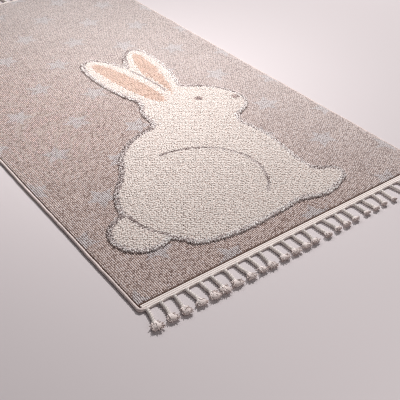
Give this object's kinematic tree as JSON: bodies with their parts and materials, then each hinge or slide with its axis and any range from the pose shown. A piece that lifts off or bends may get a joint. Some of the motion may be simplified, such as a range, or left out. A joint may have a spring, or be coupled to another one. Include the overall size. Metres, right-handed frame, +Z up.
{
  "type": "rectangular kids rug with raised rabbit motif and tassel fringe",
  "caption": "Low beige pile rug for a child's room with a raised cream rabbit, a grey contour, overcast edges and tasselled short ends.",
  "frame": {"origin": "on the floor under the centre of the rug", "axes": "+Y along the rug from the rabbit's feet to its ears, +X across to the right, +Z up from the floor through the pile"},
  "size_m": [0.8, 1.6502, 0.015],
  "materials": {
    "pile": "matt looped and cut pile",
    "edge_yarn": "matt wound yarn",
    "fringe_yarn": "matt cotton tape and cord"
  },
  "bodies": {
    "root": {"rug": "pile", "binding_left": "edge_yarn", "binding_right": "edge_yarn", "fringe_near": "fringe_yarn", "fringe_far": "fringe_yarn"}
  },
  "joints": []
}
